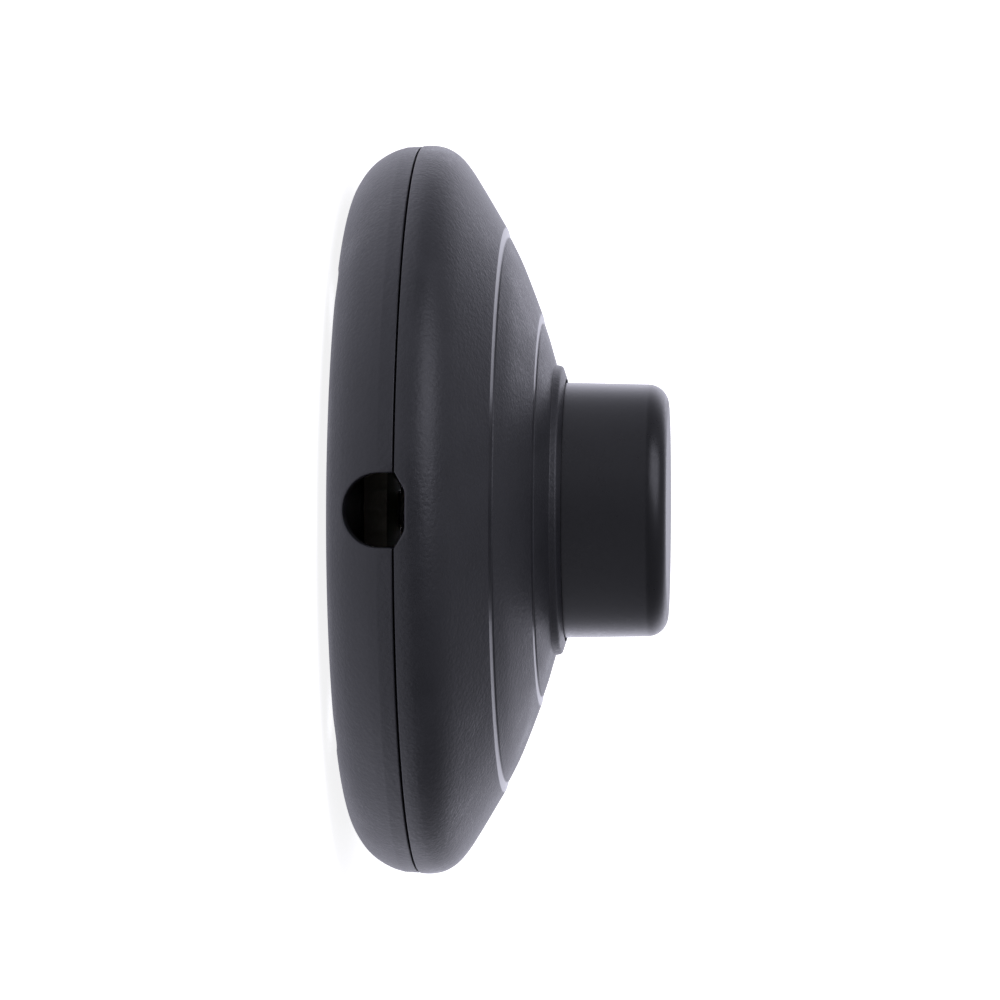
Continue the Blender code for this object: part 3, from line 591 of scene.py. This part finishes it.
def make_button():
    """A cup with a rounded rim, a stop flange below and a socket for the plunger inside."""
    fillet = 1.85
    top_radius = BUTTON_RADIUS - 0.15  # the side leans in towards the top
    inner = BUTTON_RADIUS - 1.5
    roof = BUTTON_TOP - 1.8
    socket_outer, socket_inner, socket_end = 6.9, 5.4, 20
    slot_start, slot_end, slot_half = 11.15, 15, 1.5
    outline = [(0, BUTTON_TOP)]
    for turn in range(90, -1, -6):
        outline.append((top_radius - fillet * (1 - math.cos(math.radians(turn))),
                        BUTTON_TOP - fillet * (1 - math.sin(math.radians(turn)))))
    outline += rounded([outline[-1], (BUTTON_RADIUS, COLLAR_TOP), (BUTTON_RADIUS, FLANGE_TOP, 0.1),
                        (FLANGE_RADIUS, FLANGE_TOP, 0.15), (FLANGE_RADIUS, FLANGE_BOTTOM, 0.15),
                        (inner, FLANGE_BOTTOM, 0.1), (inner, roof, 0.5), (socket_outer, roof, 0.2),
                        (socket_outer, socket_end, 0.1), (socket_inner, socket_end, 0.1),
                        (socket_inner, roof, 0.2), (0, roof)])[1:]
    slots = [((side * slot_start, -slot_half, FLANGE_BOTTOM - 2),
              (side * slot_end, slot_half, SKIRT_BOTTOM)) for side in (-1, 1)]
    mesh = combined(turned("push_button_mould", outline), [("DIFFERENCE", boxes("flange_slots", slots))])
    add_piece("push_button_mould", mesh, BUTTON, "button", "button_plastic", "push_button")


def make_feet():
    """Round rubber pads that stand on a narrow ring, with a shallow hollow inside it."""
    ring_width, hollow_edge, hollow = 1.1, 1.3, 0.12
    for number in range(1, 5):
        node = f"rubber_foot_{number}"
        low, high = box_in_mm(node)
        radius = (high.x - low.x) / 2
        centre = (low + high) / 2
        outline = rounded([(0, high.z), (radius, high.z, 0.1), (radius, low.z, 0.18),
                           (radius - ring_width, low.z, 0.1), (radius - hollow_edge, low.z + hollow, 0.1),
                           (0, low.z + hollow)], 4)
        mesh = turned("foot", outline, 96)
        mesh.transform(Matrix.Translation((centre.x, centre.y, 0)))
        add_piece(f"rubber_foot_pad_{number}", mesh, RUBBER, "housing", "foot_rubber", node)


def make_housing_screws():
    """Pan-head screws with a cross recess, seen from below."""
    shank, point = 1.4, 1.2
    head_height, head_flat, head_bulge = 1.5, 0.7, 0.75
    arm_half, arm_half_width, arm_depth = 1.25, 0.24, 0.8
    for number in range(1, 5):
        node = f"housing_screw_{number}"
        low, high = box_in_mm(node)
        centre = (low + high) / 2
        head = (high.x - low.x) / 2
        under = low.z + head_height
        outline = rounded([(0, low.z), (head * head_flat, low.z, 0.8), (head, low.z + head_bulge, 0.3),
                           (head, under, 0.1), (shank, under, 0.1), (shank, high.z - point),
                           (0, high.z)], 4)
        cross = []
        for turn in (0, 90):
            arm = boxes("arm", [((-arm_half, -arm_half_width, low.z - 1),
                                 (arm_half, arm_half_width, low.z + arm_depth))])
            arm.transform(Matrix.Rotation(math.radians(turn + 20 * number), 4, "Z"))
            cross.append(("DIFFERENCE", arm))
        mesh = combined(turned("screw", outline, 64), cross)
        mesh.transform(Matrix.Translation((centre.x, centre.y, 0)))
        add_piece(f"housing_screw_detail_{number}", mesh, ZINC, "housing", "zinc_steel", node)


def make_spring():
    """A fine round-wire coil with closed ends, in the place of the CAD coil."""
    low, high = box_in_mm("return_spring")
    wire, sides = SPRING_WIRE / 2, 12
    steps = SPRING_TURNS * 48
    closed = 1 / SPRING_TURNS  # share of the wire's length in the closed turn at each end
    coil = high.x - wire
    bottom, top = low.z + wire, high.z - wire
    up = Vector((0, 0, 1))
    shape = bmesh.new()
    rings = []
    for step in range(steps + 1):
        t = step / steps
        angle = 2 * math.pi * SPRING_TURNS * t
        rise = min(max((t - closed) / (1 - 2 * closed), 0), 1)
        height = bottom + 2 * wire * min(t / closed, 1) + 2 * wire * max((t - 1 + closed) / closed, 0)
        height += rise * (top - bottom - 4 * wire)
        out = Vector((math.cos(angle), math.sin(angle), 0))
        centre = out * coil + up * height
        ring = []
        for side in range(sides):
            turn = 2 * math.pi * side / sides
            ring.append(shape.verts.new(centre + wire * (math.cos(turn) * out + math.sin(turn) * up)))
        rings.append(ring)
    for ring, after in zip(rings, rings[1:]):
        for side in range(sides):
            on = (side + 1) % sides
            shape.faces.new((ring[side], ring[on], after[on], after[side]))
    shape.faces.new(rings[0])
    shape.faces.new(rings[-1])
    piece = add_piece("return_spring_coil", finished_mesh(shape, "coil"), SPRING_STEEL, "housing",
                      "spring_steel", "return_spring")
    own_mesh(piece)


make_base()
make_cover()
make_button()
make_feet()
make_housing_screws()
make_spring()

# Every CAD node gets the material of its slot in the record
NODE_MATERIALS = {"acetal": ACETAL, "insulator": INSULATOR, "clamp_plastic": CLAMP, "brass": BRASS,
                  "zinc_steel": ZINC, "spring_steel": SPRING_STEEL, "shell_plastic": SHELL,
                  "button_plastic": BUTTON, "foot_rubber": RUBBER}
for part in frame["record"]["subparts"]:
    node = frame["nodes"][part["node"]]
    node.data.materials.clear()
    node.data.materials.append(NODE_MATERIALS[part["material_slot"]])


# ---------------------------------------------------------------- floor, light and camera

ELEVATION = math.radians(3.55)
CAMERA = Vector((-0.00088, -0.397, 0.03804))
ROLL = math.radians(0.2)
LENS = 160.1
WHITE = 1.25  # what the camera sees of the backdrop
FLOOR_GLOW = 0.84  # and of the floor close to the object
FLOOR_HALF = 30
GLOW_REACH = (0.1, 0.6)  # metres from the origin over which the floor goes from FLOOR_GLOW to WHITE
NEAR_FLOOR = (-0.3, 0.1)  # along Y, the stretch that FLOOR_LIGHT is given for
FAR_FLOOR = (0.05, 0.18)  # metres from the origin over which SIDE_LIGHT takes over from FLOOR_LIGHT
HIGH_UP = (0.25, 0.85)  # Z of a direction over which TOP_LIGHT takes over from SIDE_LIGHT
TO_DIM_SIDE = (0.05, 0.6)  # X of a direction over which the light falls to DIM_SIDE
# Light levels as (place, level): along Y on the floor near the object, and by heading from -Y to +Y
FLOOR_LIGHT = [(0.0, 0.22), (0.6, 0.27), (0.655, 0.36), (0.69, 0.75), (0.8, 0.9)]
SIDE_LIGHT = [(0.0, 0.08), (0.03, 0.14), (0.12, 0.22), (0.6, 0.29), (0.75, 0.42), (0.85, 0.95), (0.93, 1.9)]
TOP_LIGHT = 0.28
DIM_SIDE = 0.74  # share of the light that comes from the +X side
HIGH_LIGHT = (-0.455, -0.455, 0.766)
HIGH_LIGHT_SIZE = (0.7, 0.85)
HIGH_LIGHT_POWER = 3.7
HIGH_LIGHT_TARGET = (0, 0, 0.012)
TINT = (0.97, 0.965, 1.12, 1)


def tint_unless_seen(tree, seen):
    """White to the camera, and the light's tint to everything else."""
    tint = add_node(tree, "ShaderNodeMix", {"Factor": seen}, data_type="RGBA")
    tint.inputs["A"].default_value = TINT
    tint.inputs["B"].default_value = (1, 1, 1, 1)
    return tint.outputs["Result"]


def make_floor():
    """A pale floor that looks white, and lights the object less from the front than from behind."""
    mesh = bpy.data.meshes.new("floor")
    corners = [(-FLOOR_HALF, -FLOOR_HALF, 0), (FLOOR_HALF, -FLOOR_HALF, 0),
               (FLOOR_HALF, FLOOR_HALF, 0), (-FLOOR_HALF, FLOOR_HALF, 0)]
    mesh.from_pydata(corners, [], [(0, 1, 2, 3)])
    floor = bpy.data.objects.new("floor", mesh)
    bpy.context.scene.collection.objects.link(floor)
    material, tree, shader = new_material("pale_floor")
    place = add_node(tree, "ShaderNodeTexCoord").outputs["Object"]
    away = add_node(tree, "ShaderNodeVectorMath", {0: place}, operation="LENGTH").outputs["Value"]
    white = add_node(tree, "ShaderNodeMapRange", {"Value": away, "From Min": GLOW_REACH[0],
                                                  "From Max": GLOW_REACH[1], "To Min": FLOOR_GLOW,
                                                  "To Max": WHITE}).outputs["Result"]
    forward = add_node(tree, "ShaderNodeSeparateXYZ", {"Vector": place}).outputs["Y"]
    near = level_stops(tree, forward, *NEAR_FLOOR, FLOOR_LIGHT)
    heading = add_node(tree, "ShaderNodeVectorMath", {0: place}, operation="NORMALIZE").outputs["Vector"]
    heading = add_node(tree, "ShaderNodeSeparateXYZ", {"Vector": heading}).outputs["Y"]
    far = level_stops(tree, heading, -1, 1, SIDE_LIGHT)
    beyond = add_node(tree, "ShaderNodeMapRange", {"Value": away, "From Min": FAR_FLOOR[0],
                                                   "From Max": FAR_FLOOR[1]},
                      interpolation_type="SMOOTHSTEP").outputs["Result"]
    shade = add_node(tree, "ShaderNodeMix", {"Factor": beyond, "A": near, "B": far},
                     data_type="FLOAT").outputs["Result"]
    seen = add_node(tree, "ShaderNodeLightPath").outputs["Is Camera Ray"]
    glow = add_node(tree, "ShaderNodeMix", {"Factor": seen, "A": shade, "B": white}, data_type="FLOAT")
    tree.links.new(tint_unless_seen(tree, seen), shader.inputs["Emission Color"])
    tree.links.new(glow.outputs["Result"], shader.inputs["Emission Strength"])
    shader.inputs["Base Color"].default_value = (0.8, 0.8, 0.8, 1)
    shader.inputs["Roughness"].default_value = 0.9
    shader.inputs["Specular IOR Level"].default_value = 0.0
    mesh.materials.append(material)
    floor.location.z = cad_bounds[0][2] - 0.00002  # just below the feet, so that no faces coincide


def make_world():
    """White to the camera. As a light it is brightest behind the object, and dimmer in front, above and on
    the +X side."""
    world = bpy.data.worlds.new("studio")
    world.use_nodes = True
    tree = world.node_tree
    background = tree.nodes["Background"]
    direction = add_node(tree, "ShaderNodeTexCoord").outputs["Generated"]
    axes = add_node(tree, "ShaderNodeSeparateXYZ", {"Vector": direction})
    level = level_stops(tree, axes.outputs["Y"], -1, 1, SIDE_LIGHT)
    high = add_node(tree, "ShaderNodeMapRange", {"Value": axes.outputs["Z"], "From Min": HIGH_UP[0],
                                                 "From Max": HIGH_UP[1]}, interpolation_type="SMOOTHSTEP")
    light = add_node(tree, "ShaderNodeMix", {"Factor": high.outputs["Result"], "A": level, "B": TOP_LIGHT},
                     data_type="FLOAT").outputs["Result"]
    dimmer = add_node(tree, "ShaderNodeMapRange", {"Value": axes.outputs["X"], "From Min": TO_DIM_SIDE[0],
                                                   "From Max": TO_DIM_SIDE[1], "To Min": 1.0,
                                                   "To Max": DIM_SIDE})
    light = add_node(tree, "ShaderNodeMath", {0: light, 1: dimmer.outputs["Result"]},
                     operation="MULTIPLY").outputs[0]
    seen = add_node(tree, "ShaderNodeLightPath").outputs["Is Camera Ray"]
    value = add_node(tree, "ShaderNodeMix", {"Factor": seen, "A": light, "B": WHITE}, data_type="FLOAT")
    tree.links.new(value.outputs["Result"], background.inputs["Strength"])
    tree.links.new(tint_unless_seen(tree, seen), background.inputs["Color"])
    bpy.context.scene.world = world


def make_high_light():
    """One large soft light, high in front on the -X side."""
    data = bpy.data.lights.new("high_light", "AREA")
    data.shape = "RECTANGLE"
    data.size, data.size_y = HIGH_LIGHT_SIZE
    data.energy = HIGH_LIGHT_POWER
    data.color = TINT[:3]
    lamp = bpy.data.objects.new("high_light", data)
    lamp.location = HIGH_LIGHT
    aim = Vector(HIGH_LIGHT_TARGET) - Vector(HIGH_LIGHT)
    lamp.rotation_euler = aim.to_track_quat("-Z", "Y").to_euler()
    bpy.context.scene.collection.objects.link(lamp)


def make_camera():
    """A camera that looks at the -Y side from a little above, on its side, so that +Z points right."""
    data = bpy.data.cameras.new("camera")
    data.lens = LENS
    data.sensor_width = 36
    data.clip_start, data.clip_end = 0.01, 100
    camera = bpy.data.objects.new("camera", data)
    forward = Vector((0, math.cos(ELEVATION), -math.sin(ELEVATION)))
    right = Vector((0, math.sin(ELEVATION), math.cos(ELEVATION)))
    up = (-forward).cross(right)
    turn = Matrix((right, up, -forward)).transposed().to_4x4()
    camera.matrix_world = Matrix.Translation(CAMERA) @ turn @ Matrix.Rotation(ROLL, 4, "Z")
    bpy.context.scene.collection.objects.link(camera)
    bpy.context.scene.camera = camera


make_floor()
make_world()
make_camera()
make_high_light()
bpy.context.scene.view_settings.view_transform = "Standard"
